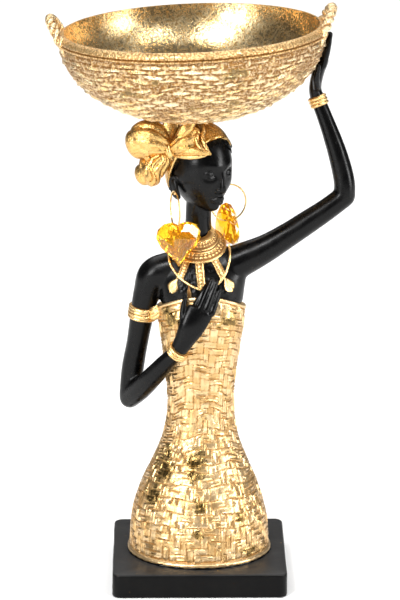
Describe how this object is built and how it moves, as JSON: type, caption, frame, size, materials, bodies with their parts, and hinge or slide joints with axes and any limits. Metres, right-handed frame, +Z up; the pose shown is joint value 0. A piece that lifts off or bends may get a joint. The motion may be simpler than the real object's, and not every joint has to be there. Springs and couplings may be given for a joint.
{
  "type": "woman with basket figurine",
  "caption": "Small standing figurine of a woman in a woven dress on a square plinth, holding a round open basket on her head, with hoop earrings and heart beads.",
  "frame": {"origin": "centre of the plinth's underside", "axes": "+Z up, the figure's front faces -Y, +X towards the raised arm"},
  "size_m": [0.1682, 0.1464, 0.3204],
  "materials": {
    "painted_resin": "gold leaf with an amber patina over satin black paint on cast resin",
    "gilt_wire": "polished gilt wire",
    "amber_acrylic": "clear amber acrylic with polished facets"
  },
  "bodies": {
    "root": {"figurine": "painted_resin", "earring_hoop_left": "gilt_wire", "heart_bead_left": "amber_acrylic", "earring_hoop_right": "gilt_wire", "heart_bead_right": "amber_acrylic"}
  },
  "joints": []
}
